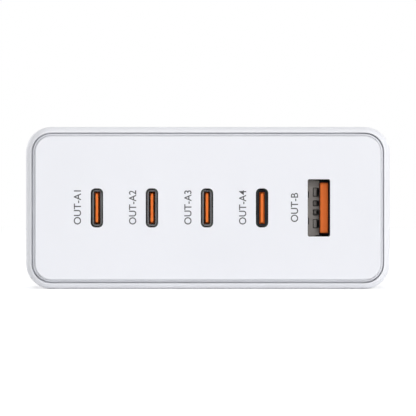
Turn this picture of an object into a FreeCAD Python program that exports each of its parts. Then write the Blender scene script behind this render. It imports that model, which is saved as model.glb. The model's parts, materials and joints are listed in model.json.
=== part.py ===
import FreeCAD, Part
import math
import os

os.makedirs("parts", exist_ok=True)

# The charger lies flat: X runs across the front, Y from front to rear, Z up from the table.

# moulded body
body_width = 80.0
body_depth = 98.0
body_height = 35.6
corner_radius = 5.55
wall = 2.2
rear_wall = 2.5
lip_wall = 1.25             # thin lip round the front panel
lip_round = 2.0
lip_drop = 0.1              # the rounding starts this far behind the panel's face
rear_round = 2.5
rail_width = 3.2
rail_height = 3.0

# front panel
panel_thickness = 3.2
panel_groove = 0.35         # shadow gap between lip and panel
panel_bead = 0.26           # sloped bead round the panel
bead_drop = 0.22            # top of the bead behind the panel's face
bead_slope = 0.23
bead_groove = 0.12          # fine groove between the bead and the panel
bead_groove_depth = 0.7
panel_edge_bevel = 0.2
flange_thickness = 1.5
flange_fit = 0.05
rib_height = 2.0
rib_wall = 1.0
rib_end_gap = 12.0
rib_fit = 0.1

# sockets in the panel, spread evenly between its sides
oval_port_count = 4
port_side_gap = 15.6        # from the body's side to the middle of the outermost socket
wide_port_extra = 0.4       # the wide socket stands this much further off
port_cover = 0.4            # panel plastic left in front of each sleeve
port_lead = 0.05            # aperture edge outside the sleeve's opening
pocket_fit = 0.1
sleeve_wall = 0.3
insert_fit = 0.04
port_board_setback = 13.2   # from the mouth of the sleeves to the board

# oval socket
oval_long = 8.5
oval_short = 2.62
oval_roundness = 0.76       # corner radius as a share of half the width
oval_depth = 6.4
oval_tongue_long = 6.45
oval_tongue_thick = 0.62
oval_tongue_setback = 0.5
oval_tongue_bevel = 0.06
oval_tongue_corner = 0.15
oval_root_long = 6.95
oval_root_thick = 1.16
oval_root_low = 2.0         # root ends this far behind the collar's face
oval_root_gap = 0.1         # or this far behind the contact pads, in the fourth socket
collar_gap = 0.22
collar_ring = 0.4
collar_thick = 1.3
pad_count = 4
pad_pitch = 1.5
pad_width = 0.7
pad_length = 1.9
pad_thick = 0.02
pad_setback = 0.3

# wide socket
wide_long = 12.5
wide_short = 4.82
wide_corner = 0.35
wide_depth = 11.4
wide_tongue_long = 11.1
wide_tongue_thick = 1.8
wide_tongue_offset = 1.14   # the tongue stands nearer the right side
wide_tongue_setback = 0.7
wide_tongue_bevel = 0.2
back_plate_thick = 0.3
plate_fit = 0.06
contact_outer = 3.5         # contact rows above and below the middle
contact_inner = 1.0
contact_outer_width = 1.7
contact_inner_width = 1.0
spring_bow = 0.5
spring_thick = 0.15
spring_foot = 0.4
spring_setback = 1.2
root_width = 0.77
root_offset = 0.92          # contact root left of the tongue
root_height = 0.2
root_gap = 0.14
tab_width = 1.45
tab_length = 4.5
tab_bow = 0.24
tab_spread = 2.93
tab_setback = 3.0

# mains inlet, shaped for the usual two-pin lead
inlet_lobe_radius = 4.2
inlet_lobe_spacing = 7.5
inlet_waist = 6.6
inlet_depth = 13.0
inlet_recess = 0.2
inlet_skin = 1.3
inlet_fit = 0.1
inlet_floor = 2.0
flange_width = 24.0
flange_height = 15.0
inlet_flange_thick = 1.5
pin_radius = 1.18
pin_spacing = 8.6
pin_length = 10.0
tail_width = 1.4
tail_fit = 0.02
tail_length = 2.5
strap_width = 2.6
strap_thick = 0.6
strap_foot = 3.0

# boards and heat spreaders
board_thick = 1.6
board_drop = 9.8            # underside of the power board below the middle of the body
board_side_gap = 1.2
board_front_gap = 5.5
board_rear_gap = 2.5
port_board_side_gap = 3.0
port_board_headroom = 2.9
spreader_thick = 1.5
spreader_side_gap = 2.0
spreader_bend = 4.2
spreader_front_gap = 2.9
spreader_rear_gap = 13.5
lower_spreader_thick = 1.2
lower_spreader_side_gap = 3.6
lower_spreader_end_gap = 6.0
chip_thick = 1.0
chip_size = 8.0

# parts on the power board, set out from the heat spreader's legs, the port board and the rear wall
low_side_depth = 28.9       # from the port board back to the isolation barrier
mains_side_depth = 22.0     # from the rear wall forward
core_limb = 4.5
winding_gap = 0.2
winding_bulge = 3.0
winding_thick = 1.2
transformer_depth = 15.0
transformer_front_gap = 4.9
transformer_side_gap = 2.9
transformer_headroom = 2.3
boost_choke_inner = 5.0     # its inner side from the middle of the board
boost_choke_side_gap = 3.3
boost_choke_front_gap = 5.0
boost_choke_rear_gap = 2.5
boost_choke_headroom = 3.3
bulk_headroom = 4.3
bulk_side_gap = 5.3
bulk_front_gap = 2.0
bulk_rear_gap = 0.5
mains_choke_width = 17.0
mains_choke_bar = 4.0
mains_choke_side_gap = 1.1
mains_choke_rear_gap = 3.0
thermistor_radius = 4.5
thermistor_thick = 4.0
thermistor_gap = 0.2        # beside the mains choke
thermistor_rear_gap = 18.5
bridge_size = (20.0, 3.6, 15.0)
bridge_side_gap = 1.3
bridge_rear_gap = 17.2
fuse_size = (8.5, 3.8, 7.5)
fuse_side_gap = 5.05
fuse_rear_gap = 12.6
film_size = (18.0, 8.5, 14.5)
film_side_gap = 0.3
film_rear_gap = 3.25
barrier_thick = 0.5
barrier_side_gap = 1.3
barrier_headroom = 2.3
converter_side_gap = 13.3
converter_front_gap = 3.9
converter_thick = 1.2
converter_length = 20.0
converter_headroom = 4.3
inductor_size = (4.0, 8.0, 8.0)
inductor_level = 6.0
inductor_spacing = 9.5
control_chip_size = (1.2, 5.0, 5.0)
output_size = (7.3, 4.3, 2.8)
output_side_gap = 0.65
output_front_gap = 4.75
output_pitch = 7.0
coupler_size = (6.5, 4.6, 3.5)
coupler_side_gap = 1.05
coupler_front_gap = 22.6
safety_size = (8.0, 3.0, 4.5)
safety_side_gap = 12.3
safety_front_gap = 23.9

# levels that follow from the sizes above
front = -body_depth / 2
rear = body_depth / 2
middle = body_height / 2
panel_back = front + panel_thickness
port_mouth = front + port_cover
port_board_face = port_mouth + port_board_setback
pad_front = port_mouth + oval_tongue_setback + pad_setback
board_level = middle - board_drop
board_top = board_level + board_thick
first_port_x = port_side_gap - body_width / 2
wide_port_x = body_width / 2 - port_side_gap
port_pitch = (wide_port_x - first_port_x - wide_port_extra) / oval_port_count
inner_half_width = body_width / 2 - wall
inner_top = body_height - wall
inner_rear = rear - rear_wall

# room between the legs of the upper heat spreader, over the power board
room_side = inner_half_width - spreader_side_gap - spreader_thick
room_front = port_board_face + board_thick
room_height = inner_top - spreader_thick - board_top
barrier_y = room_front + low_side_depth
mains_front = inner_rear - mains_side_depth
converter_x = room_side - converter_side_gap
converter_y = room_front + converter_front_gap + converter_length / 2

transformer_width = 2 * (converter_x - converter_thick / 2 - inductor_size[0] - transformer_side_gap)
transformer_size = (transformer_width, transformer_depth, room_height - transformer_headroom)
transformer_y = room_front + transformer_front_gap + winding_bulge + transformer_depth / 2
transformer_at = (0.0, transformer_y)

boost_choke_width = room_side - boost_choke_side_gap - boost_choke_inner
boost_choke_front = barrier_y + boost_choke_front_gap + winding_bulge
boost_choke_depth = mains_front - boost_choke_rear_gap - winding_bulge - boost_choke_front
boost_choke_size = (boost_choke_width, boost_choke_depth, room_height - boost_choke_headroom)
boost_choke_at = (boost_choke_inner + boost_choke_width / 2, boost_choke_front + boost_choke_depth / 2)

mains_choke_half = mains_choke_width / 2 + winding_thick
mains_choke_x = room_side - mains_choke_side_gap - mains_choke_half
mains_choke_y = inner_rear - mains_choke_rear_gap - mains_choke_width / 2


def vec(x, y, z):
    return FreeCAD.Vector(x, y, z)


def block(x, y, z, width, depth, height):
    """Box centred on x and y, standing on z."""
    return Part.makeBox(width, depth, height, vec(x - width / 2, y - depth / 2, z))


def bevelled_block(x, width, tall, bevel, start, end):
    """Upright block with its four long edges bevelled."""
    body = block(x, (start + end) / 2, middle - tall / 2, width, end - start, tall)
    corners = []
    for edge in body.Edges:
        box = edge.BoundBox
        if max(box.XLength, box.ZLength) < 1e-3:
            corners.append(edge)
    return body.makeChamfer(bevel, corners)


def along(x, z, radius, start, end):
    """Round bar from front to rear."""
    return Part.makeCylinder(radius, end - start, vec(x, start, z), vec(0, 1, 0))


def prism(wire, length):
    return Part.Face(wire).extrude(vec(0, length, 0))


def rounded_block(x, z, width, height, radius, start, end):
    """Upright rounded rectangle."""
    across = width / 2 - radius
    up = height / 2 - radius
    lean = radius * math.sqrt(0.5)
    arcs = []
    for side, level in ((1, 1), (-1, 1), (-1, -1), (1, -1)):
        centre = vec(x + side * across, start, z + level * up)
        flat = centre + vec(side * radius, 0, 0)
        tall = centre + vec(0, 0, level * radius)
        mid = centre + vec(side * lean, 0, level * lean)
        ends = (flat, tall) if side == level else (tall, flat)
        arcs.append(Part.Arc(ends[0], mid, ends[1]))
    edges = []
    for here, following in zip(arcs, arcs[1:] + arcs[:1]):
        edges.append(here.toShape())
        if here.EndPoint.distanceToPoint(following.StartPoint) > 1e-6:
            edges.append(Part.makeLine(here.EndPoint, following.StartPoint))
    return prism(Part.Wire(edges), end - start)


def body_block(inset, start, end):
    """The body's rounded outline, moved in evenly by the inset."""
    return rounded_block(
        0,
        middle,
        body_width - 2 * inset,
        body_height - 2 * inset,
        corner_radius - inset,
        start,
        end,
    )


def oval_block(x, z, short, tall, start, end):
    return rounded_block(x, z, short, tall, oval_roundness * short / 2, start, end)


def edges_at(shape, y):
    """Edges that lie wholly in the upright plane at y."""
    found = []
    for edge in shape.Edges:
        box = edge.BoundBox
        if abs(box.YMin - y) < 1e-4 and abs(box.YMax - y) < 1e-4:
            found.append(edge)
    return found


def figure_eight(extra, start, end):
    lobes = []
    for side in (-1, 1):
        lobes.append(along(side * inlet_lobe_spacing / 2, middle, inlet_lobe_radius + extra, start, end))
    waist = Part.makeBox(
        inlet_lobe_spacing,
        end - start,
        inlet_waist + 2 * extra,
        vec(-inlet_lobe_spacing / 2, start, middle - inlet_waist / 2 - extra),
    )
    return waist.fuse(lobes).removeSplitter()


def oval_port_places():
    return [first_port_x + number * port_pitch for number in range(oval_port_count)]


def body_shell():
    lip_front = front + lip_drop
    outside = body_block(0, lip_front, rear)
    outside = outside.makeFillet(rear_round, edges_at(outside, rear))
    outside = outside.makeFillet(lip_round, edges_at(outside, lip_front))
    pocket = body_block(lip_wall, lip_front, panel_back)
    hollow = body_block(wall, panel_back, inner_rear)
    shell = outside.cut(pocket).cut(hollow)
    rail_front = panel_back + rib_height + rib_wall
    for side in (-1, 1):
        rail = block(
            side * (inner_half_width - rail_width / 2 + wall / 4),
            (rail_front + inner_rear + wall / 4) / 2,
            board_level - rail_height,
            rail_width + wall / 2,
            inner_rear + wall / 4 - rail_front,
            rail_height,
        )
        shell = shell.fuse(rail)
    return shell.cut(figure_eight(inlet_skin + inlet_fit, inner_rear - 1, rear + 1))


def sleeve_pocket(x, short, tall):
    """Square pocket behind an aperture, which the socket's sleeve slides into."""
    extra = 2 * (sleeve_wall + pocket_fit)
    depth = panel_back - port_mouth
    return block(
        x, port_mouth + depth / 2, middle - (tall + extra) / 2, short + extra, depth, tall + extra
    )


def front_panel():
    bead_inset = lip_wall + panel_groove
    bead_front = front + bead_drop
    bead = body_block(bead_inset, bead_front, panel_back)
    bead = bead.makeChamfer(bead_slope, edges_at(bead, bead_front))
    groove_end = front + bead_groove_depth
    bead = bead.cut(body_block(bead_inset + panel_bead, bead_front, groove_end))
    raised = body_block(bead_inset + panel_bead + bead_groove, front, panel_back)
    raised = raised.makeChamfer(panel_edge_bevel, edges_at(raised, front))
    flange = body_block(lip_wall + flange_fit, panel_back - flange_thickness, panel_back)
    pieces = [bead, flange]
    for low in (wall + rib_fit, inner_top - rib_fit - rib_wall):
        rib_length = body_width - 2 * rib_end_gap
        pieces.append(block(0, panel_back + rib_height / 2, low, rib_length, rib_height, rib_wall))
    panel = raised.fuse(pieces).removeSplitter()
    for x in oval_port_places():
        panel = panel.cut(
            oval_block(x, middle, oval_short + 2 * port_lead, oval_long + 2 * port_lead, front, panel_back)
        )
        panel = panel.cut(sleeve_pocket(x, oval_short, oval_long))
    panel = panel.cut(
        rounded_block(
            wide_port_x,
            middle,
            wide_short + 2 * port_lead,
            wide_long + 2 * port_lead,
            wide_corner + port_lead,
            front,
            panel_back,
        )
    )
    return panel.cut(sleeve_pocket(wide_port_x, wide_short, wide_long))


def oval_shell(x):
    short = oval_short + 2 * sleeve_wall
    outside = bevelled_block(
        x, short, oval_long + 2 * sleeve_wall, oval_roundness * short / 4, port_mouth, port_board_face
    )
    return outside.cut(oval_block(x, middle, oval_short, oval_long, port_mouth, port_board_face))


def oval_tongue(x, root_face):
    blade_front = port_mouth + oval_tongue_setback
    blade = bevelled_block(
        x, oval_tongue_thick, oval_tongue_long, oval_tongue_corner, blade_front, port_board_face
    )
    blade = blade.makeChamfer(oval_tongue_bevel, edges_at(blade, blade_front))
    root = block(
        x,
        (root_face + port_board_face) / 2,
        middle - oval_root_long / 2,
        oval_root_thick,
        port_board_face - root_face,
        oval_root_long,
    )
    return blade.fuse(root).removeSplitter()


def oval_collar(x):
    start = port_mouth + oval_depth
    short = oval_short - 2 * collar_gap
    tall = oval_long - 2 * collar_gap
    ring = oval_block(x, middle, short, tall, start, start + collar_thick)
    slot_tall = tall - 2 * collar_ring
    return ring.cut(
        block(
            x,
            start + collar_thick / 2,
            middle - slot_tall / 2,
            short - 2 * collar_ring,
            collar_thick,
            slot_tall,
        )
    )


def oval_base(x):
    start = port_mouth + oval_depth + collar_thick
    short = oval_short - 2 * insert_fit
    base = bevelled_block(
        x, short, oval_long - 2 * insert_fit, oval_roundness * short / 2, start, port_board_face
    )
    slot = block(
        x,
        (start + port_board_face) / 2,
        middle - oval_root_long / 2,
        oval_root_thick,
        port_board_face - start,
        oval_root_long,
    )
    return base.cut(slot)


def oval_contacts(x):
    pads = []
    for side in (-1, 1):
        for number in range(pad_count):
            level = middle + (number - (pad_count - 1) / 2) * pad_pitch
            pads.append(
                block(
                    x + side * (oval_tongue_thick + pad_thick) / 2,
                    pad_front + pad_length / 2,
                    level - pad_width / 2,
                    pad_thick,
                    pad_length,
                    pad_width,
                )
            )
    return Part.makeCompound(pads)


def folded_leaf(length, bow, thick, width):
    """Strip of sheet metal along Y on the plane x = 0, folded out towards +X in its middle."""
    half = length / 2
    crest = half / 3
    outer = [(0, -half), (bow, -crest), (bow, crest), (0, half)]
    inner = [(x - thick, y) for x, y in reversed(outer)]
    corners = [vec(x, y, -width / 2) for x, y in outer + inner]
    return Part.Face(Part.makePolygon(corners + corners[:1])).extrude(vec(0, 0, width))


def wide_shell():
    outside = bevelled_block(
        wide_port_x,
        wide_short + 2 * sleeve_wall,
        wide_long + 2 * sleeve_wall,
        wide_corner,
        port_mouth,
        port_board_face,
    )
    shell = outside.cut(
        rounded_block(wide_port_x, middle, wide_short, wide_long, wide_corner, port_mouth, port_board_face)
    )
    tab_y = port_mouth + tab_setback + tab_length / 2
    places = [
        (vec(wide_port_x - wide_short / 2, tab_y, middle + tab_spread), 0),
        (vec(wide_port_x - wide_short / 2, tab_y, middle - tab_spread), 0),
        (vec(wide_port_x, tab_y, middle + wide_long / 2), 90),
        (vec(wide_port_x, tab_y, middle - wide_long / 2), -90),
    ]
    for place, turn in places:
        window = Part.makeBox(
            3 * sleeve_wall,
            tab_length,
            1.5 * tab_width,
            vec(-2 * sleeve_wall, -tab_length / 2, -0.75 * tab_width),
        )
        leaf = folded_leaf(tab_length, tab_bow, sleeve_wall, tab_width)
        for piece in (window, leaf):
            piece.rotate(vec(0, 0, 0), vec(0, 1, 0), turn)
            piece.translate(place)
        shell = shell.cut(window).fuse(leaf)
    return shell.removeSplitter()


def wide_tongue():
    start = port_mouth + wide_tongue_setback
    blade = block(
        wide_port_x + wide_tongue_offset,
        (start + port_board_face) / 2,
        middle - wide_tongue_long / 2,
        wide_tongue_thick,
        port_board_face - start,
        wide_tongue_long,
    )
    return blade.makeChamfer(wide_tongue_bevel, edges_at(blade, start))


def wide_base():
    start = port_mouth + wide_depth + back_plate_thick
    base = bevelled_block(
        wide_port_x,
        wide_short - 2 * insert_fit,
        wide_long - 2 * insert_fit,
        wide_corner,
        start,
        port_board_face,
    )
    return base.cut(wide_tongue())


def contact_rows():
    return [
        (middle + contact_outer, contact_outer_width),
        (middle + contact_inner, contact_inner_width),
        (middle - contact_inner, contact_inner_width),
        (middle - contact_outer, contact_outer_width),
    ]


def tongue_left():
    return wide_port_x + wide_tongue_offset - wide_tongue_thick / 2


def wide_back_plate():
    start = port_mouth + wide_depth
    plate = rounded_block(
        wide_port_x,
        middle,
        wide_short - 2 * plate_fit,
        wide_long - 2 * plate_fit,
        wide_corner,
        start,
        start + back_plate_thick,
    )
    right = tongue_left() - plate_fit
    plate = plate.cut(
        Part.makeBox(wide_short, back_plate_thick, wide_long, vec(right, start, middle - wide_long / 2))
    )
    for level, width in contact_rows():
        plate = plate.cut(
            block(
                tongue_left() - root_offset,
                start + back_plate_thick / 2,
                level - width / 2 - root_gap,
                root_width + 2 * root_gap,
                back_plate_thick,
                width + 2 * root_gap,
            )
        )
    return plate


def wide_contacts():
    """Folded springs on the tongue's left face, and their roots in the windows of the plate."""
    start = port_mouth + wide_tongue_setback + spring_setback
    end = port_mouth + wide_depth - spring_foot
    plate_rear = port_mouth + wide_depth + back_plate_thick
    depth = back_plate_thick + root_height
    pieces = []
    for level, width in contact_rows():
        spring = folded_leaf(end - start, spring_bow, spring_thick, width)
        spring.rotate(vec(0, 0, 0), vec(0, 1, 0), 180)
        spring.translate(vec(tongue_left() - spring_thick, (start + end) / 2, level))
        pieces.append(spring)
        pieces.append(
            block(
                tongue_left() - root_offset,
                plate_rear - depth / 2,
                level - width / 2,
                root_width,
                depth,
                width,
            )
        )
    return Part.makeCompound(pieces)


def port_board():
    half_width = inner_half_width - port_board_side_gap
    tall = inner_top - port_board_headroom - board_top
    return block(0, port_board_face + board_thick / 2, board_top, 2 * half_width, board_thick, tall)


def pin_tail(side, fit, start, end):
    width = tail_width + 2 * fit
    return block(
        side * pin_spacing / 2, (start + end) / 2, middle - width / 2, width, end - start, width
    )


def inlet_housing():
    """Moulded well: a figure-eight nose through the rear wall, a flange and a plain back."""
    mouth = rear - inlet_recess
    floor_back = mouth - inlet_depth - inlet_floor
    flange_face = inner_rear - inlet_flange_thick
    back_width = inlet_lobe_spacing + 2 * (inlet_lobe_radius + inlet_skin)
    back_height = 2 * (inlet_lobe_radius + inlet_skin)
    back = block(
        0,
        (floor_back + flange_face) / 2,
        middle - back_height / 2,
        back_width,
        flange_face - floor_back,
        back_height,
    )
    flange = block(
        0,
        (flange_face + inner_rear) / 2,
        middle - flange_height / 2,
        flange_width,
        inlet_flange_thick,
        flange_height,
    )
    housing = figure_eight(inlet_skin, inner_rear, mouth).fuse([back, flange]).removeSplitter()
    housing = housing.cut(figure_eight(0, mouth - inlet_depth, mouth))
    for side in (-1, 1):
        housing = housing.cut(pin_tail(side, tail_fit, floor_back, mouth - inlet_depth))
    return housing


def inlet_pins():
    """Round pins whose shoulders seat on the floor, with thinner square tails through it."""
    floor = rear - inlet_recess - inlet_depth
    tail_end = floor - inlet_floor - tail_length
    pins = []
    for side in (-1, 1):
        pin = along(side * pin_spacing / 2, middle, pin_radius, floor, floor + pin_length)
        pins.append(pin.fuse(pin_tail(side, 0, tail_end, floor)))
    return Part.makeCompound(pins)


def inlet_straps():
    """Flat leads from the pin tails, bent down onto the board."""
    face = rear - inlet_recess - inlet_depth - inlet_floor - tail_length
    top = middle + strap_width / 2
    straps = []
    for side in (-1, 1):
        upright = block(
            side * pin_spacing / 2,
            face - strap_thick / 2,
            board_top,
            strap_width,
            strap_thick,
            top - board_top,
        )
        foot = block(
            side * pin_spacing / 2,
            face - strap_foot / 2,
            board_top,
            strap_width,
            strap_foot,
            strap_thick,
        )
        straps.append(upright.fuse(foot).removeSplitter())
    return Part.makeCompound(straps)


def main_board():
    start = panel_back + board_front_gap
    end = inner_rear - board_rear_gap
    width = 2 * (inner_half_width - board_side_gap)
    return block(0, (start + end) / 2, board_level, width, end - start, board_thick)


def upper_heat_spreader():
    """Folded sheet over the power board, its legs standing on the board."""
    half = inner_half_width - spreader_side_gap
    fold = half - spreader_bend
    shoulder = inner_top - spreader_bend
    outer = [(-half, board_top), (-half, shoulder), (-fold, inner_top)]
    outer += [(-x, z) for x, z in reversed(outer)]
    nip = spreader_thick * math.tan(math.pi / 8)
    inner_leg = half - spreader_thick
    ceiling = inner_top - spreader_thick
    inner = [(-inner_leg, board_top), (-inner_leg, shoulder - nip), (-fold + nip, ceiling)]
    inner += [(-x, z) for x, z in reversed(inner)]
    start = room_front + spreader_front_gap
    corners = [vec(x, start, z) for x, z in outer + inner[::-1]]
    return prism(Part.makePolygon(corners + corners[:1]), inner_rear - spreader_rear_gap - start)


def lower_heat_spreader():
    width = 2 * (inner_half_width - rail_width - lower_spreader_side_gap)
    start = panel_back + lower_spreader_end_gap
    end = inner_rear - lower_spreader_end_gap
    return block(0, (start + end) / 2, wall, width, end - start, lower_spreader_thick)


def transistor_places():
    places = []
    for at, size in ((transformer_at, transformer_size), (boost_choke_at, boost_choke_size)):
        for side in (-1, 1):
            places.append((at[0] + side * size[0] / 4, at[1]))
    return places


def on_board(x, y, size):
    return block(x, y, board_top, size[0], size[1], size[2])


def in_pairs(size, side_gap, front_gaps):
    """Parts at both sides of the board, each by its gaps to a spreader leg and to the port board."""
    parts = []
    for side in (-1, 1):
        x = side * (room_side - side_gap - size[0] / 2)
        for gap in front_gaps:
            parts.append(on_board(x, room_front + gap + size[1] / 2, size))
    return Part.makeCompound(parts)


def at_left_rear(size, side_gap, rear_gap):
    return on_board(side_gap + size[0] / 2 - room_side, inner_rear - rear_gap - size[1] / 2, size)


def power_transistors():
    chips = []
    for x, y in transistor_places():
        chips.append(block(x, y, board_level - chip_thick, chip_size, chip_size, chip_thick))
    return Part.makeCompound(chips)


def thermal_pads():
    """Soft pads from the lower heat spreader up to the power transistors."""
    base = wall + lower_spreader_thick
    tall = board_level - chip_thick - base
    pads = []
    for at, size in ((transformer_at, transformer_size), (boost_choke_at, boost_choke_size)):
        pads.append(block(at[0], at[1], base, size[0], size[1], tall))
    return Part.makeCompound(pads)


def wound_core(at, size):
    """Ferrite core: a square ring with a middle limb."""
    width, depth, height = size
    core = block(at[0], at[1], board_top, width, depth, height)
    window = block(
        at[0], at[1], board_top + core_limb, width - 2 * core_limb, depth, height - 2 * core_limb
    )
    limb = block(at[0], at[1], board_top + core_limb, core_limb, depth, height - 2 * core_limb)
    return core.cut(window).fuse(limb).removeSplitter()


def core_winding(at, size):
    """Taped coil round the middle limb, bulging out at the front and rear of the core."""
    width, depth, height = size
    across = width - 2 * core_limb - 2 * winding_gap
    deep = depth + 2 * winding_bulge
    tall = height - 2 * core_limb
    level = board_top + core_limb
    coil = block(at[0], at[1], level, across, deep, tall)
    corners = [edge for edge in coil.Edges if edge.BoundBox.ZLength > tall / 2]
    coil = coil.makeChamfer(winding_bulge / 2, corners)
    hole = block(at[0], at[1], level, core_limb + 2 * winding_gap, depth + 2 * winding_gap, tall)
    return coil.cut(hole)


def mains_choke_core():
    """Square ring lying on its windings."""
    low = board_top + winding_thick
    ring = block(mains_choke_x, mains_choke_y, low, mains_choke_width, mains_choke_width, mains_choke_bar)
    hole = mains_choke_width - 2 * mains_choke_bar
    return ring.cut(block(mains_choke_x, mains_choke_y, low, hole, hole, mains_choke_bar))


def mains_choke_windings():
    thick = mains_choke_bar + 2 * winding_thick
    length = mains_choke_width - 2 * (mains_choke_bar + winding_thick)
    coils = []
    for side in (-1, 1):
        x = mains_choke_x + side * (mains_choke_width - mains_choke_bar) / 2
        coil = block(x, mains_choke_y, board_top, thick, length, thick)
        corners = [edge for edge in coil.Edges if edge.BoundBox.YLength > length / 2]
        coil = coil.makeChamfer(winding_thick / 2, corners)
        coils.append(coil.cut(mains_choke_core()))
    return Part.makeCompound(coils)


def bulk_capacitor():
    """Tall can lying on the board."""
    radius = (room_height - bulk_headroom) / 2
    x = bulk_side_gap + radius - room_side
    return along(x, board_top + radius, radius, barrier_y + bulk_front_gap, mains_front - bulk_rear_gap)


def output_capacitors():
    return in_pairs(output_size, output_side_gap, (output_front_gap, output_front_gap + output_pitch))


def inrush_thermistor():
    """Standing disc in front of the mains choke's inner side."""
    x = mains_choke_x - mains_choke_width / 2 - thermistor_gap - thermistor_radius
    end = inner_rear - thermistor_rear_gap
    return along(x, board_top + thermistor_radius, thermistor_radius, end - thermistor_thick, end)


def isolation_barrier():
    width = 2 * (room_side - barrier_side_gap)
    return on_board(0, barrier_y, (width, barrier_thick, room_height - barrier_headroom))


def converter_boards():
    size = (converter_thick, converter_length, room_height - converter_headroom)
    return Part.makeCompound([on_board(side * converter_x, converter_y, size) for side in (-1, 1)])


def on_converters(size, level, inward, spread):
    """A pair of parts on one face of each converter board."""
    pieces = []
    for side in (-1, 1):
        away = converter_thick / 2 + size[0] / 2
        x = side * (converter_x - away if inward else converter_x + away)
        for along_board in (-spread / 2, spread / 2):
            y = converter_y + along_board
            pieces.append(block(x, y, board_top + level, size[0], size[1], size[2]))
    return Part.makeCompound(pieces)


def output_inductors():
    return on_converters(inductor_size, inductor_level, True, inductor_spacing)


def control_chips():
    return on_converters(control_chip_size, inductor_level, False, inductor_spacing)


pieces = {
    "body_shell": body_shell(),
    "front_panel": front_panel(),
    "wide_port_shell": wide_shell(),
    "wide_port_tongue": wide_tongue(),
    "wide_port_base": wide_base(),
    "wide_port_back_plate": wide_back_plate(),
    "wide_port_contacts": wide_contacts(),
    "port_board": port_board(),
    "inlet_housing": inlet_housing(),
    "inlet_pins": inlet_pins(),
    "inlet_straps": inlet_straps(),
    "main_board": main_board(),
    "upper_heat_spreader": upper_heat_spreader(),
    "lower_heat_spreader": lower_heat_spreader(),
    "power_transistors": power_transistors(),
    "thermal_pads": thermal_pads(),
    "transformer_core": wound_core(transformer_at, transformer_size),
    "transformer_winding": core_winding(transformer_at, transformer_size),
    "boost_choke_core": wound_core(boost_choke_at, boost_choke_size),
    "boost_choke_winding": core_winding(boost_choke_at, boost_choke_size),
    "mains_choke_core": mains_choke_core(),
    "mains_choke_windings": mains_choke_windings(),
    "bulk_capacitor": bulk_capacitor(),
    "output_capacitors": output_capacitors(),
    "film_capacitor": at_left_rear(film_size, film_side_gap, film_rear_gap),
    "bridge_rectifier": at_left_rear(bridge_size, bridge_side_gap, bridge_rear_gap),
    "fuse": at_left_rear(fuse_size, fuse_side_gap, fuse_rear_gap),
    "inrush_thermistor": inrush_thermistor(),
    "safety_capacitors": in_pairs(safety_size, safety_side_gap, (safety_front_gap,)),
    "isolation_barrier": isolation_barrier(),
    "converter_boards": converter_boards(),
    "output_inductors": output_inductors(),
    "control_chips": control_chips(),
    "feedback_couplers": in_pairs(coupler_size, coupler_side_gap, (coupler_front_gap,)),
}

collar_face = port_mouth + oval_depth
for number, x in enumerate(oval_port_places(), 1):
    last = number == oval_port_count
    root_face = pad_front + pad_length + oval_root_gap if last else collar_face + oval_root_low
    name = "oval_port_" + str(number)
    pieces[name + "_shell"] = oval_shell(x)
    pieces[name + "_tongue"] = oval_tongue(x, root_face)
    pieces[name + "_collar"] = oval_collar(x)
    pieces[name + "_base"] = oval_base(x)
    pieces[name + "_contacts"] = oval_contacts(x)

for name, shape in pieces.items():
    shape.exportStep("parts/" + name + ".step")
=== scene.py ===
import json
from math import pi, radians, sin

import bmesh
import bpy
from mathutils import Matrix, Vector

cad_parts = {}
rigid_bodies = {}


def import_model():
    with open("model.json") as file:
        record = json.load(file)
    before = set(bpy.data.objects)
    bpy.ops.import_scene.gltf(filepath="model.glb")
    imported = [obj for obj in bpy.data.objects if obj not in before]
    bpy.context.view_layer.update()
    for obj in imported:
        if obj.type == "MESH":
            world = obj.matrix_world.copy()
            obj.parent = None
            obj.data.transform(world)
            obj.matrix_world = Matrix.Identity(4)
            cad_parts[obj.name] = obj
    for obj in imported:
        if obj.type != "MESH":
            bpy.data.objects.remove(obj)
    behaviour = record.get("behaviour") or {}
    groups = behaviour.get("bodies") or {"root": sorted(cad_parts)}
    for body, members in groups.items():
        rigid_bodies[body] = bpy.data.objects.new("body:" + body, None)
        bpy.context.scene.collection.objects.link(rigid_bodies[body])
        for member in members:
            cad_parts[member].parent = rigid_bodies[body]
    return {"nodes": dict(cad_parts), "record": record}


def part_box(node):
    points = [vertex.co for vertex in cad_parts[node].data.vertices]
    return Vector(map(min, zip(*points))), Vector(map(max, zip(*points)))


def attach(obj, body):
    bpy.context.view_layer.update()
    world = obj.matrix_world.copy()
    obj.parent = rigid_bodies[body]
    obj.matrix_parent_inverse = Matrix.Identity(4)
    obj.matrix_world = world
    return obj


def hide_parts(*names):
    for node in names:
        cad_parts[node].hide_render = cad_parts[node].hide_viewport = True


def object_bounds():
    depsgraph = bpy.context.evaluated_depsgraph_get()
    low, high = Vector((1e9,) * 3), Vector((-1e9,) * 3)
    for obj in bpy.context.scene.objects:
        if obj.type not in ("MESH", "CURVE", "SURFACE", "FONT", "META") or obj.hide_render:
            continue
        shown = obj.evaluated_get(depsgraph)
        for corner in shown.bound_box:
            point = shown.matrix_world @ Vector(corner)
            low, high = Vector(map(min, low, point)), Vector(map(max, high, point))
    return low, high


for leftover in list(bpy.data.objects):
    bpy.data.objects.remove(leftover)

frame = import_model()
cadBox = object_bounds()
nodes = frame["nodes"]
print("frame loaded with", len(nodes), "nodes")

mm = 0.001
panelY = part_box("front_panel")[0].y   # face of the front panel
middleZ = (cadBox[0][2] + cadBox[1][2]) / 2


def addObject(name, data):
    thing = bpy.data.objects.new(name, data)
    bpy.context.scene.collection.objects.link(thing)
    return thing


# camera: straight on to the front and far off, so hardly any perspective
cameraSettings = {
    "distance": 2.3,            # from the front panel, in metres
    "imageWidth": 416,          # in pixels, as wide as high
    "pixelsPerMm": 4.55,
    "centre": (207.9, 207.9),   # pixel where the middle of the front lands
    "sensor": 36.0,
}


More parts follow.
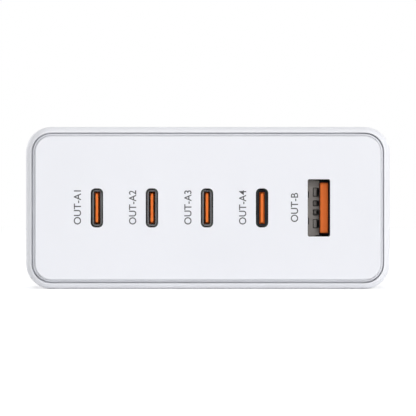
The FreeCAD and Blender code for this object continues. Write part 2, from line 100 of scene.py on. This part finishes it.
def addCamera(settings):
    data = bpy.data.cameras.new("frontCamera")
    camera = addObject("frontCamera", data)
    viewWidth = settings["imageWidth"] / settings["pixelsPerMm"] * mm
    data.sensor_width = settings["sensor"]
    data.lens = settings["sensor"] * settings["distance"] / viewWidth
    perPixel = mm / settings["pixelsPerMm"]
    half = settings["imageWidth"] / 2
    right = (half - settings["centre"][0]) * perPixel
    down = (half - settings["centre"][1]) * perPixel
    camera.location = (right, panelY - settings["distance"], middleZ - down)
    camera.rotation_euler = (radians(90), 0, 0)
    bpy.context.scene.camera = camera


addCamera(cameraSettings)
bpy.context.scene.view_settings.view_transform = "Standard"
print("camera placed")

# room: white to the eye, plain white light on the object
roomSettings = {
    "skyLight": 0.27,
    "backdrop": 1.0,            # as the eye sees it, where 1 is white
    "floorColour": (0.97, 0.97, 0.97, 1),
    "floorHalf": 6.0,           # half the side of the floor, in metres
    # added to the floor for the eye only, so that it reads as white paper and keeps the shadow
    "liftNear": 0.34,
    "liftFar": 0.75,
    "liftFade": (0.25, 1.6),    # from the middle of the object, in metres
}


def seenDirectly(tree):
    # 1 for rays from the eye, mirror rays and rays through glass, 0 for rays that light the object
    path = tree.nodes.new("ShaderNodeLightPath")
    total = path.outputs["Is Camera Ray"]
    for label in ("Is Glossy Ray", "Is Transmission Ray"):
        larger = tree.nodes.new("ShaderNodeMath")
        larger.operation = "MAXIMUM"
        tree.links.new(total, larger.inputs[0])
        tree.links.new(path.outputs[label], larger.inputs[1])
        total = larger.outputs[0]
    return total


def addSky(settings):
    world = bpy.data.worlds.new("studio")
    bpy.context.scene.world = world
    world.use_nodes = True
    tree = world.node_tree
    light = tree.nodes["Background"]
    light.inputs["Color"].default_value = (1, 1, 1, 1)
    light.inputs["Strength"].default_value = settings["skyLight"]
    backdrop = tree.nodes.new("ShaderNodeBackground")
    backdrop.inputs["Color"].default_value = (1, 1, 1, 1)
    backdrop.inputs["Strength"].default_value = settings["backdrop"]
    either = tree.nodes.new("ShaderNodeMixShader")
    tree.links.new(seenDirectly(tree), either.inputs[0])
    tree.links.new(light.outputs[0], either.inputs[1])
    tree.links.new(backdrop.outputs[0], either.inputs[2])
    tree.links.new(either.outputs[0], tree.nodes["World Output"].inputs["Surface"])


def paperFinish(settings):
    # matt white paper, with the lift that only the eye sees
    material = bpy.data.materials.new("paperFloor")
    material.use_nodes = True
    tree = material.node_tree
    tree.nodes.clear()
    spot = tree.nodes.new("ShaderNodeTexCoord")
    away = tree.nodes.new("ShaderNodeVectorMath")
    away.operation = "LENGTH"
    tree.links.new(spot.outputs["Object"], away.inputs[0])
    fade = tree.nodes.new("ShaderNodeMapRange")
    fade.inputs["From Min"].default_value = settings["liftFade"][0]
    fade.inputs["From Max"].default_value = settings["liftFade"][1]
    fade.inputs["To Min"].default_value = settings["liftNear"]
    fade.inputs["To Max"].default_value = settings["liftFar"]
    tree.links.new(away.outputs["Value"], fade.inputs["Value"])
    forEye = tree.nodes.new("ShaderNodeMath")
    forEye.operation = "MULTIPLY"
    tree.links.new(fade.outputs["Result"], forEye.inputs[0])
    tree.links.new(seenDirectly(tree), forEye.inputs[1])
    matt = tree.nodes.new("ShaderNodeBsdfDiffuse")
    matt.inputs["Color"].default_value = settings["floorColour"]
    lift = tree.nodes.new("ShaderNodeEmission")
    tree.links.new(forEye.outputs[0], lift.inputs["Strength"])
    both = tree.nodes.new("ShaderNodeAddShader")
    tree.links.new(matt.outputs[0], both.inputs[0])
    tree.links.new(lift.outputs[0], both.inputs[1])
    out = tree.nodes.new("ShaderNodeOutputMaterial")
    tree.links.new(both.outputs[0], out.inputs["Surface"])
    return material


def addFloor(settings):
    half = settings["floorHalf"]
    corners = [(-half, -half, 0), (half, -half, 0), (half, half, 0), (-half, half, 0)]
    mesh = bpy.data.meshes.new("studioFloor")
    mesh.from_pydata(corners, [], [(0, 1, 2, 3)])
    mesh.materials.append(paperFinish(settings))
    floor = addObject("studioFloor", mesh)


addSky(roomSettings)
addFloor(roomSettings)
print("room placed")

# lamps: place and size in metres, power in watts
lampSettings = {
    "keyLamp": {"place": (1.4, -1.1, 0.1), "size": 0.6, "power": 16.8},
    "frontLamp": {"place": (0.15, -2.0, 0.12), "size": 0.5, "power": 3.4},
    "highFrontLamp": {"place": (0.0, -1.1, 1.2), "size": 0.9, "power": 9.3},
    "rearLeftLamp": {"place": (-1.4, 1.2, 0.5), "size": 0.7, "power": 12.0},
    "rearRightLamp": {"place": (1.4, 1.2, 0.5), "size": 0.7, "power": 5.5},
    "rearTopLamp": {"place": (0.0, 0.9, 1.3), "size": 0.9, "power": 2.8},
}


def addLamp(name, place, size, power):
    data = bpy.data.lights.new(name, "AREA")
    data.shape = "SQUARE"
    data.size = size
    data.energy = power
    lamp = addObject(name, data)
    aim = Vector((0, 0, middleZ)) - Vector(place)
    lamp.location = place
    lamp.rotation_euler = aim.to_track_quat("-Z", "Y").to_euler()


for name, lamp in lampSettings.items():
    addLamp(name, lamp["place"], lamp["size"], lamp["power"])
print("lamps placed")


# skins that several finishes share, each a node group built once
skinInputs = (
    ("Tone", "NodeSocketColor", (0.8, 0.8, 0.8, 1)),
    ("Second Tone", "NodeSocketColor", (0.7, 0.7, 0.7, 1)),
    ("Scale", "NodeSocketFloat", 50.0),
    ("Grain Scale", "NodeSocketFloat", 4000.0),
    ("Roughness Low", "NodeSocketFloat", 0.4),
    ("Roughness High", "NodeSocketFloat", 0.5),
)
skinOutputs = (
    ("Colour", "NodeSocketColor"),
    ("Roughness", "NodeSocketFloat"),
    ("Height", "NodeSocketFloat"),
)
noiseSpan = (0.3, 0.7)   # most of a noise lies between these


def startSkin(name):
    group = bpy.data.node_groups.new(name, "ShaderNodeTree")
    for label, kind, start in skinInputs:
        socket = group.interface.new_socket(label, in_out="INPUT", socket_type=kind)
        socket.default_value = start
    for label, kind in skinOutputs:
        group.interface.new_socket(label, in_out="OUTPUT", socket_type=kind)
    given = group.nodes.new("NodeGroupInput")
    result = group.nodes.new("NodeGroupOutput")
    spot = group.nodes.new("ShaderNodeTexCoord").outputs["Object"]
    return group, given, result, spot


def addPattern(group, kind, spot, scale):
    pattern = group.nodes.new(kind)
    group.links.new(spot, pattern.inputs["Vector"])
    group.links.new(scale, pattern.inputs["Scale"])
    return pattern


def stretchRange(group, value, span, goals):
    # goals may be sockets of the group's inputs or plain numbers
    stretch = group.nodes.new("ShaderNodeMapRange")
    stretch.inputs["From Min"].default_value = span[0]
    stretch.inputs["From Max"].default_value = span[1]
    group.links.new(value, stretch.inputs["Value"])
    for label, goal in zip(("To Min", "To Max"), goals):
        if isinstance(goal, (int, float)):
            stretch.inputs[label].default_value = goal
        else:
            group.links.new(goal, stretch.inputs[label])
    return stretch.outputs["Result"]


def blendTones(group, given, result, factor):
    tones = group.nodes.new("ShaderNodeMix")
    tones.data_type = "RGBA"
    group.links.new(factor, tones.inputs["Factor"])
    # the colour sockets of a Mix node share their names with the number ones
    first, second = [socket for socket in tones.inputs if socket.type == "RGBA"]
    mixed = [socket for socket in tones.outputs if socket.type == "RGBA"][0]
    group.links.new(given.outputs["Tone"], first)
    group.links.new(given.outputs["Second Tone"], second)
    group.links.new(mixed, result.inputs["Colour"])


def giveRelief(group, given, result, grain, height):
    limits = (given.outputs["Roughness Low"], given.outputs["Roughness High"])
    group.links.new(stretchRange(group, grain, noiseSpan, limits), result.inputs["Roughness"])
    group.links.new(height, result.inputs["Height"])


# moulded plastic: faint clouds of tone and the fine pitted skin of a spark-cut mould
mouldedSettings = {"cloudDetail": 4.0, "cloudSpan": (0.35, 0.65), "grainDetail": 2.0, "grainRoughness": 0.65}


def buildMouldedSkin(settings):
    group, given, result, spot = startSkin("mouldedSkin")
    clouds = addPattern(group, "ShaderNodeTexNoise", spot, given.outputs["Scale"])
    clouds.inputs["Detail"].default_value = settings["cloudDetail"]
    grain = addPattern(group, "ShaderNodeTexNoise", spot, given.outputs["Grain Scale"])
    grain.inputs["Detail"].default_value = settings["grainDetail"]
    grain.inputs["Roughness"].default_value = settings["grainRoughness"]
    factor = stretchRange(group, clouds.outputs[0], settings["cloudSpan"], (0.0, 1.0))
    blendTones(group, given, result, factor)
    giveRelief(group, given, result, grain.outputs[0], grain.outputs[0])
    return group


# sheet metal: fine lines along the drawing direction, front to rear
drawnSettings = {"pull": (1.0, 0.06, 1.0), "lineDetail": 3.0}


def buildDrawnSkin(settings):
    group, given, result, spot = startSkin("drawnSheet")
    pull = group.nodes.new("ShaderNodeMapping")
    pull.inputs["Scale"].default_value = settings["pull"]
    group.links.new(spot, pull.inputs["Vector"])
    clouds = addPattern(group, "ShaderNodeTexNoise", spot, given.outputs["Scale"])
    lines = addPattern(group, "ShaderNodeTexNoise", pull.outputs["Vector"], given.outputs["Grain Scale"])
    lines.inputs["Detail"].default_value = settings["lineDetail"]
    factor = stretchRange(group, clouds.outputs[0], noiseSpan, (0.0, 1.0))
    blendTones(group, given, result, factor)
    giveRelief(group, given, result, lines.outputs[0], lines.outputs[0])
    return group


# turns of wire or tape round a coil: bands up the coil, with painted shade darkening the valleys between
# turns
woundSettings = {"distortion": 0.4, "valleyShadeSpan": (0.0, 0.45)}


def buildWoundSkin(settings):
    group, given, result, spot = startSkin("woundTurns")
    turns = addPattern(group, "ShaderNodeTexWave", spot, given.outputs["Scale"])
    turns.bands_direction = "Z"
    turns.inputs["Distortion"].default_value = settings["distortion"]
    grain = addPattern(group, "ShaderNodeTexNoise", spot, given.outputs["Grain Scale"])
    # painted shade: the second tone fills the valleys between turns
    factor = stretchRange(group, turns.outputs["Fac"], settings["valleyShadeSpan"], (1.0, 0.0))
    blendTones(group, given, result, factor)
    giveRelief(group, given, result, grain.outputs[0], turns.outputs["Fac"])
    return group


# ceramic and ferrite: scattered specks of the second tone in a dense body
firedSettings = {"speckSpan": (0.12, 0.3)}


def buildFiredSkin(settings):
    group, given, result, spot = startSkin("firedSpeck")
    specks = addPattern(group, "ShaderNodeTexVoronoi", spot, given.outputs["Scale"])
    grain = addPattern(group, "ShaderNodeTexNoise", spot, given.outputs["Grain Scale"])
    factor = stretchRange(group, specks.outputs["Distance"], settings["speckSpan"], (1.0, 0.0))
    blendTones(group, given, result, factor)
    giveRelief(group, given, result, grain.outputs[0], grain.outputs[0])
    return group


skins = {
    "moulded": buildMouldedSkin(mouldedSettings),
    "drawn": buildDrawnSkin(drawnSettings),
    "wound": buildWoundSkin(woundSettings),
    "fired": buildFiredSkin(firedSettings),
}
print("skins built")


def addFinish(name, finish):
    material = bpy.data.materials.new(name)
    material.use_nodes = True
    tree = material.node_tree
    shader = tree.nodes["Principled BSDF"]
    skin = tree.nodes.new("ShaderNodeGroup")
    skin.node_tree = skins[finish["skin"]]
    skin.inputs["Tone"].default_value = (*finish["tone"], 1)
    skin.inputs["Second Tone"].default_value = (*finish["secondTone"], 1)
    skin.inputs["Scale"].default_value = finish["scale"]
    skin.inputs["Grain Scale"].default_value = finish["grainScale"]
    skin.inputs["Roughness Low"].default_value = finish["roughness"][0]
    skin.inputs["Roughness High"].default_value = finish["roughness"][1]
    relief = tree.nodes.new("ShaderNodeBump")
    relief.inputs["Strength"].default_value = finish["relief"]
    relief.inputs["Distance"].default_value = finish["reliefDepth"] * mm
    tree.links.new(skin.outputs["Colour"], shader.inputs["Base Color"])
    tree.links.new(skin.outputs["Roughness"], shader.inputs["Roughness"])
    tree.links.new(skin.outputs["Height"], relief.inputs["Height"])
    tree.links.new(relief.outputs["Normal"], shader.inputs["Normal"])
    shader.inputs["Metallic"].default_value = finish.get("metal", 0.0)
    shader.inputs["Coat Weight"].default_value = finish.get("coat", 0.0)
    shader.inputs["Specular IOR Level"].default_value = finish.get("specular", 0.5)
    return material


# scale and grainScale count features to the metre, reliefDepth is in mm

# body and panel: satin white plastic with a cool cast
bodyFinishes = {
    "shell_plastic": {
        "skin": "moulded", "tone": (0.862, 0.870, 0.908), "secondTone": (0.845, 0.854, 0.893),
        "scale": 28.0, "grainScale": 5200.0, "roughness": (0.52, 0.62),
        "relief": 0.25, "reliefDepth": 0.012, "specular": 0.4,
    },
    "panel_plastic": {
        "skin": "moulded", "tone": (0.842, 0.850, 0.892), "secondTone": (0.828, 0.837, 0.880),
        "scale": 34.0, "grainScale": 6400.0, "roughness": (0.44, 0.54),
        "relief": 0.2, "reliefDepth": 0.01,
    },
}

# sockets and inlet: sleeves and contact springs darkened with painted shade, grey collars and plate, orange
# tongues, bright pins
socketFinishes = {
    # painted shade: the sleeves' steel gets a near-black tone that stands in for the shade in the gap round
    # each opening
    "socket_steel": {
        "skin": "drawn", "tone": (0.022, 0.022, 0.024), "secondTone": (0.015, 0.015, 0.017),
        "scale": 300.0, "grainScale": 9000.0, "roughness": (0.38, 0.55),
        "relief": 0.2, "reliefDepth": 0.01, "metal": 0.7,
    },
    "collar_steel": {
        "skin": "drawn", "tone": (0.1, 0.098, 0.099), "secondTone": (0.084, 0.082, 0.083),
        "scale": 420.0, "grainScale": 9000.0, "roughness": (0.2, 0.28),
        "relief": 0.05, "reliefDepth": 0.004, "metal": 1.0,
    },
    "slate_plastic": {
        "skin": "moulded", "tone": (0.030, 0.038, 0.047), "secondTone": (0.025, 0.032, 0.040),
        "scale": 300.0, "grainScale": 6000.0, "roughness": (0.3, 0.4),
        "relief": 0.15, "reliefDepth": 0.006,
    },
    "plate_steel": {
        "skin": "drawn", "tone": (0.33, 0.305, 0.285), "secondTone": (0.28, 0.26, 0.245),
        "scale": 260.0, "grainScale": 8000.0, "roughness": (0.34, 0.5),
        "relief": 0.2, "reliefDepth": 0.01, "metal": 0.85,
    },
    "tongue_plastic": {
        "skin": "moulded", "tone": (0.97, 0.215, 0.040), "secondTone": (0.93, 0.20, 0.035),
        "scale": 240.0, "grainScale": 6000.0, "roughness": (0.5, 0.6),
        "relief": 0.15, "reliefDepth": 0.008, "specular": 0.15,
    },
    "wideTongue": {
        "skin": "moulded", "tone": (0.73, 0.16, 0.033), "secondTone": (0.69, 0.148, 0.03),
        "scale": 240.0, "grainScale": 6000.0, "roughness": (0.5, 0.6),
        "relief": 0.15, "reliefDepth": 0.008, "specular": 0.1,
    },
    "black_plastic": {
        "skin": "moulded", "tone": (0.018, 0.018, 0.019), "secondTone": (0.013, 0.013, 0.014),
        "scale": 160.0, "grainScale": 5000.0, "roughness": (0.42, 0.6),
        "relief": 0.35, "reliefDepth": 0.012,
    },
    "gold_contact": {
        "skin": "drawn", "tone": (0.62, 0.41, 0.15), "secondTone": (0.54, 0.35, 0.12),
        "scale": 500.0, "grainScale": 9000.0, "roughness": (0.5, 0.62),
        "relief": 0.1, "reliefDepth": 0.006, "metal": 1.0,
    },
    # painted shade: the contact springs get a near-black tone that stands in for the shade deep in the wide
    # socket
    "dark_contact": {
        "skin": "drawn", "tone": (0.035, 0.034, 0.033), "secondTone": (0.024, 0.023, 0.023),
        "scale": 400.0, "grainScale": 9000.0, "roughness": (0.4, 0.55),
        "relief": 0.15, "reliefDepth": 0.008, "metal": 0.6,
    },
    "pin_metal": {
        "skin": "drawn", "tone": (0.66, 0.65, 0.62), "secondTone": (0.58, 0.57, 0.54),
        "scale": 260.0, "grainScale": 7000.0, "roughness": (0.2, 0.34),
        "relief": 0.2, "reliefDepth": 0.01, "metal": 1.0,
    },
}

# parts on the boards inside
innerFinishes = {
    "circuit_board": {
        "skin": "moulded", "tone": (0.018, 0.085, 0.042), "secondTone": (0.024, 0.11, 0.055),
        "scale": 420.0, "grainScale": 3000.0, "roughness": (0.3, 0.42),
        "relief": 0.3, "reliefDepth": 0.02, "coat": 0.2,
    },
    "strap_copper": {
        "skin": "drawn", "tone": (0.72, 0.45, 0.25), "secondTone": (0.64, 0.38, 0.2),
        "scale": 260.0, "grainScale": 6000.0, "roughness": (0.25, 0.4),
        "relief": 0.2, "reliefDepth": 0.01, "metal": 1.0,
    },
    "spreader_aluminium": {
        "skin": "drawn", "tone": (0.72, 0.72, 0.73), "secondTone": (0.66, 0.66, 0.67),
        "scale": 60.0, "grainScale": 3000.0, "roughness": (0.3, 0.45),
        "relief": 0.25, "reliefDepth": 0.02, "metal": 1.0,
    },
    "chip_plastic": {
        "skin": "moulded", "tone": (0.024, 0.024, 0.025), "secondTone": (0.018, 0.018, 0.019),
        "scale": 200.0, "grainScale": 4000.0, "roughness": (0.5, 0.65),
        "relief": 0.4, "reliefDepth": 0.015,
    },
    "pad_rubber": {
        "skin": "moulded", "tone": (0.42, 0.47, 0.52), "secondTone": (0.37, 0.42, 0.47),
        "scale": 150.0, "grainScale": 2000.0, "roughness": (0.7, 0.85),
        "relief": 0.5, "reliefDepth": 0.03,
    },
    "ferrite": {
        "skin": "fired", "tone": (0.045, 0.045, 0.047), "secondTone": (0.025, 0.025, 0.026),
        "scale": 900.0, "grainScale": 3000.0, "roughness": (0.4, 0.6),
        "relief": 0.3, "reliefDepth": 0.02,
    },
    # in the wound finishes the second tone is the painted shade in the valleys between turns
    "winding_tape": {
        "skin": "wound", "tone": (0.72, 0.56, 0.09), "secondTone": (0.48, 0.36, 0.05),
        "scale": 160.0, "grainScale": 1500.0, "roughness": (0.3, 0.45),
        "relief": 0.4, "reliefDepth": 0.05, "coat": 0.2,
    },
    "copper_wire": {
        "skin": "wound", "tone": (0.72, 0.31, 0.13), "secondTone": (0.28, 0.10, 0.04),
        "scale": 620.0, "grainScale": 3000.0, "roughness": (0.25, 0.4),
        "relief": 0.8, "reliefDepth": 0.2, "metal": 0.9,
    },
    "can_sleeve": {
        "skin": "moulded", "tone": (0.028, 0.033, 0.048), "secondTone": (0.022, 0.026, 0.04),
        "scale": 90.0, "grainScale": 2500.0, "roughness": (0.35, 0.5),
        "relief": 0.3, "reliefDepth": 0.02,
    },
    "can_aluminium": {
        "skin": "drawn", "tone": (0.72, 0.72, 0.73), "secondTone": (0.64, 0.64, 0.66),
        "scale": 200.0, "grainScale": 5000.0, "roughness": (0.28, 0.4),
        "relief": 0.2, "reliefDepth": 0.01, "metal": 1.0,
    },
    "film_box": {
        "skin": "moulded", "tone": (0.55, 0.49, 0.11), "secondTone": (0.49, 0.43, 0.09),
        "scale": 110.0, "grainScale": 3000.0, "roughness": (0.4, 0.55),
        "relief": 0.3, "reliefDepth": 0.02,
    },
    "fuse_ceramic": {
        "skin": "fired", "tone": (0.74, 0.73, 0.69), "secondTone": (0.60, 0.58, 0.54),
        "scale": 1200.0, "grainScale": 3000.0, "roughness": (0.4, 0.55),
        "relief": 0.2, "reliefDepth": 0.02,
    },
    "disc_ceramic": {
        "skin": "fired", "tone": (0.05, 0.16, 0.38), "secondTone": (0.035, 0.12, 0.30),
        "scale": 1000.0, "grainScale": 2600.0, "roughness": (0.3, 0.45),
        "relief": 0.3, "reliefDepth": 0.03, "coat": 0.2,
    },
    "barrier_sheet": {
        "skin": "moulded", "tone": (0.78, 0.78, 0.76), "secondTone": (0.72, 0.72, 0.70),
        "scale": 60.0, "grainScale": 1500.0, "roughness": (0.5, 0.65),
        "relief": 0.3, "reliefDepth": 0.02,
    },
}

finishes = {}
for family in (bodyFinishes, socketFinishes, innerFinishes):
    for slot, finish in family.items():
        finishes[slot] = addFinish(slot, finish)

slotOf = {row["node"]: row["material_slot"] for row in frame["record"]["subparts"]}
for name, node in nodes.items():
    node.data.materials.clear()
    node.data.materials.append(finishes[slotOf[name]])
print("finishes on", len(nodes), "nodes")


def addPiece(name, mesh, slot, node, finish=None):
    piece = addObject(name, mesh)
    mesh.materials.append(finishes[finish or slot])
    even = piece.modifiers.new("evenNormals", "WEIGHTED_NORMAL")   # keeps flats flat beside their round edges
    even.keep_sharp = True
    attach(piece, "root")
    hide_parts(node)


# how a solid becomes a mesh with soft edges, angles in degrees
meshSettings = {
    "weld": 0.002 * mm,     # points closer than this become one
    "flatAngle": 0.5,       # faces that meet at less than this become one
    "hardAngle": 28,        # edges sharper than this are rounded over
    "profile": 0.5,         # a true round
    "smoothAngle": 40,      # edges sharper than this stay sharp in the shading
}


def copySolid(node):
    bm = bmesh.new()
    bm.from_mesh(nodes[node].data)
    bmesh.ops.remove_doubles(bm, verts=bm.verts, dist=meshSettings["weld"])
    flat = radians(meshSettings["flatAngle"])
    bmesh.ops.dissolve_limit(bm, angle_limit=flat, verts=bm.verts, edges=bm.edges)
    return bm


def softEdges(bm, width, segments, hardAngle=meshSettings["hardAngle"]):
    # hard edges rounded over, as tools and moulds leave them
    hard = [e for e in bm.edges if e.is_manifold and e.calc_face_angle() > radians(hardAngle)]
    bmesh.ops.bevel(
        bm, geom=hard, offset=width, offset_type="OFFSET", segments=segments,
        profile=meshSettings["profile"], affect="EDGES", clamp_overlap=True,
    )


def smoothMesh(bm, name):
    mesh = bpy.data.meshes.new(name)
    bm.to_mesh(mesh)
    bm.free()
    for layer in [a for a in mesh.attributes if a.name == "custom_normal"]:
        mesh.attributes.remove(layer)
    mesh.shade_smooth()
    mesh.set_sharp_from_angle(angle=radians(meshSettings["smoothAngle"]))
    return mesh


# tongues and collars of the oval sockets
ovalSettings = {
    "count": 4,
    "tongueRound": 0.04 * mm,
    "leadDepth": 0.28 * mm,     # the tip of a tongue narrows over this length
    "leadNarrow": (0.08 * mm, 0.08 * mm, 0.08 * mm, 0.0),   # the fourth is blunt
    "leadCut": 0.001 * mm,      # points this close to the start of the slope lie on it
    "collarRound": 0.03 * mm,
    "segments": 3,
}


def leadIn(bm, node, narrow, settings):
    # slopes the front of a tongue, so that a plug finds its way over it
    low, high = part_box(node)
    middle = (low + high) / 2
    half = (high - low) / 2
    depth = settings["leadDepth"]
    start = low.y + depth
    bmesh.ops.bisect_plane(
        bm, geom=bm.verts[:] + bm.edges[:] + bm.faces[:],
        plane_co=(0, start, 0), plane_no=(0, 1, 0), dist=settings["leadCut"],
    )
    for vert in bm.verts:
        share = max(0.0, (start - vert.co.y) / depth)
        for axis in (0, 2):
            scale = 1 - share * narrow / half[axis]
            vert.co[axis] = middle[axis] + (vert.co[axis] - middle[axis]) * scale


def addOvalSocket(number, settings):
    tongue = "oval_port_%d_tongue" % number
    bm = copySolid(tongue)
    leadIn(bm, tongue, settings["leadNarrow"][number - 1], settings)
    softEdges(bm, settings["tongueRound"], settings["segments"])
    addPiece("ovalPort%dTongue" % number, smoothMesh(bm, tongue), slotOf[tongue], tongue)
    collar = "oval_port_%d_collar" % number
    bm = copySolid(collar)
    softEdges(bm, settings["collarRound"], settings["segments"])
    addPiece("ovalPort%dCollar" % number, smoothMesh(bm, collar), slotOf[collar], collar)


for number in range(1, ovalSettings["count"] + 1):
    addOvalSocket(number, ovalSettings)
print("oval sockets dressed")

# wide socket: tongue, and the contact springs as smooth bowed strips with their roots in the plate
wideSettings = {
    "tongueRound": 0.18 * mm,
    "tongueSegments": 3,
    "rows": ((3.5, 1.7), (1.0, 1.0), (-1.0, 1.0), (-3.5, 1.7)),   # height from the middle and width, in mm
    "bow": 0.5 * mm,
    "bowPower": 1.4,          # above 1 the bow eases in and out
    "thick": 0.15 * mm,
    "steps": 24,
    "rearGap": 0.4 * mm,      # from the end of a spring to the plate behind it
    "rootOffset": 0.92 * mm,  # from the tongue's left face to the middle of a root
    "rootWidth": 0.77 * mm,
    "rootHeight": 0.2 * mm,   # how far a root stands out of the plate
    "springRound": 0.03 * mm,
    "rootRound": 0.06 * mm,
    "metalSegments": 2,
    "metalAngle": 50,         # only the edges of a strip are rounded, not the steps of its bow
}


def bowedStrip(bm, level, width, tongueLeft, front, rear, settings):
    # strip along the tongue's left face that lifts off it in a smooth bow
    thick = settings["thick"]
    half = width * mm / 2
    rings = []
    for step in range(settings["steps"] + 1):
        share = step / settings["steps"]
        outer = tongueLeft - thick - settings["bow"] * sin(pi * share) ** settings["bowPower"]
        y = front + share * (rear - front)
        ring = []
        for x, z in ((outer, -half), (outer + thick, -half), (outer + thick, half), (outer, half)):
            ring.append(bm.verts.new((x, y, middleZ + level * mm + z)))
        rings.append(ring)
    for here, there in zip(rings, rings[1:]):
        for side in range(4):
            after = (side + 1) % 4
            bm.faces.new((here[side], here[after], there[after], there[side]))
    bm.faces.new(rings[0][::-1])
    bm.faces.new(rings[-1])


def blockAt(bm, centre, size):
    made = bmesh.ops.create_cube(bm, size=1.0)
    for vert in made["verts"]:
        vert.co = Vector(centre) + Vector((vert.co.x * size[0], vert.co.y * size[1], vert.co.z * size[2]))


def addWideTongue(settings):
    bm = copySolid("wide_port_tongue")
    softEdges(bm, settings["tongueRound"], settings["tongueSegments"])
    mesh = smoothMesh(bm, "widePortTongue")
    addPiece("widePortTongue", mesh, "tongue_plastic", "wide_port_tongue", "wideTongue")


def addWideContacts(settings):
    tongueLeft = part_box("wide_port_tongue")[0].x
    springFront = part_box("wide_port_contacts")[0].y
    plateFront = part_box("wide_port_back_plate")[0].y
    springRear = plateFront - settings["rearGap"]
    rootFront = plateFront - settings["rootHeight"]
    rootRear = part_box("wide_port_contacts")[1].y
    springs = bmesh.new()
    roots = bmesh.new()
    for level, width in settings["rows"]:
        bowedStrip(springs, level, width, tongueLeft, springFront, springRear, settings)
        centre = (tongueLeft - settings["rootOffset"], (rootFront + rootRear) / 2, middleZ + level * mm)
        blockAt(roots, centre, (settings["rootWidth"], rootRear - rootFront, width * mm))
    bmesh.ops.recalc_face_normals(springs, faces=springs.faces)
    softEdges(springs, settings["springRound"], settings["metalSegments"], settings["metalAngle"])
    softEdges(roots, settings["rootRound"], settings["metalSegments"], settings["metalAngle"])
    # the springs take the near-black dark_contact finish: painted shade
    addPiece("widePortSprings", smoothMesh(springs, "widePortSprings"), "dark_contact", "wide_port_contacts")
    addPiece("widePortRoots", smoothMesh(roots, "widePortRoots"), "plate_steel", "wide_port_contacts")


addWideTongue(wideSettings)
addWideContacts(wideSettings)
print("wide socket dressed")

# pins of the mains inlet at the rear
inletSettings = {"pinRound": 0.45 * mm, "segments": 3}
pins = copySolid("inlet_pins")
softEdges(pins, inletSettings["pinRound"], inletSettings["segments"])
addPiece("inletPins", smoothMesh(pins, "inletPins"), "pin_metal", "inlet_pins")
print("inlet dressed")

# printed marks beside the sockets, reading upwards, in mm
labelSettings = {
    "words": ("OUT-A1", "OUT-A2", "OUT-A3", "OUT-A4", "OUT-B"),
    "middles": (-28.68, -16.55, -4.40, 7.63, 19.03),   # across the front
    "lengths": (7.5, 7.5, 7.5, 7.5, 6.4),
    "capHeight": 1.6,
    "level": 17.9,            # of the middle of a mark above the table
    "inkThick": 0.012,
    "typeDepth": 0.01,        # of the raw letters, which are scaled to inkThick
    "weight": 0.009,          # thickens the strokes of the raw letters
}
inkFinish = {
    "skin": "moulded", "tone": (0.06, 0.06, 0.063), "secondTone": (0.075, 0.075, 0.079),
    "scale": 900.0, "grainScale": 6000.0, "roughness": (0.5, 0.62),
    "relief": 0.2, "reliefDepth": 0.006,
}


def typeMesh(name, word, settings):
    text = bpy.data.curves.new(name, "FONT")
    text.body = word
    text.extrude = settings["typeDepth"]
    text.offset = settings["weight"]
    holder = addObject(name + "Type", text)
    bpy.context.view_layer.update()
    ready = holder.evaluated_get(bpy.context.evaluated_depsgraph_get())
    mesh = bpy.data.meshes.new_from_object(ready)
    bpy.data.objects.remove(holder)
    return mesh


def addLabel(name, word, x, length, settings, ink):
    mesh = typeMesh(name, word, settings)
    across = [v.co.x for v in mesh.vertices]
    up = [v.co.y for v in mesh.vertices]
    deep = [v.co.z for v in mesh.vertices]
    wide = length / (max(across) - min(across))
    tall = settings["capHeight"] / (max(up) - min(up))
    thick = settings["inkThick"] / (max(deep) - min(deep))
    middle = (max(across) + min(across)) / 2
    waist = (max(up) + min(up)) / 2
    back = min(deep)
    for vert in mesh.vertices:
        along = (vert.co.x - middle) * wide
        rise = (vert.co.y - waist) * tall
        proud = (vert.co.z - back) * thick
        # the line of type runs up the panel and the tops of the letters point left
        vert.co = Vector(((x - rise) * mm, panelY - proud * mm, (settings["level"] + along) * mm))
    mesh.materials.clear()
    mesh.materials.append(ink)
    piece = addObject(name, mesh)
    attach(piece, "root")


ink = addFinish("labelInk", inkFinish)
rows = zip(labelSettings["words"], labelSettings["middles"], labelSettings["lengths"])
for number, (word, middle, length) in enumerate(rows, 1):
    addLabel("portMark%d" % number, word, middle, length, labelSettings, ink)
print("marks printed")
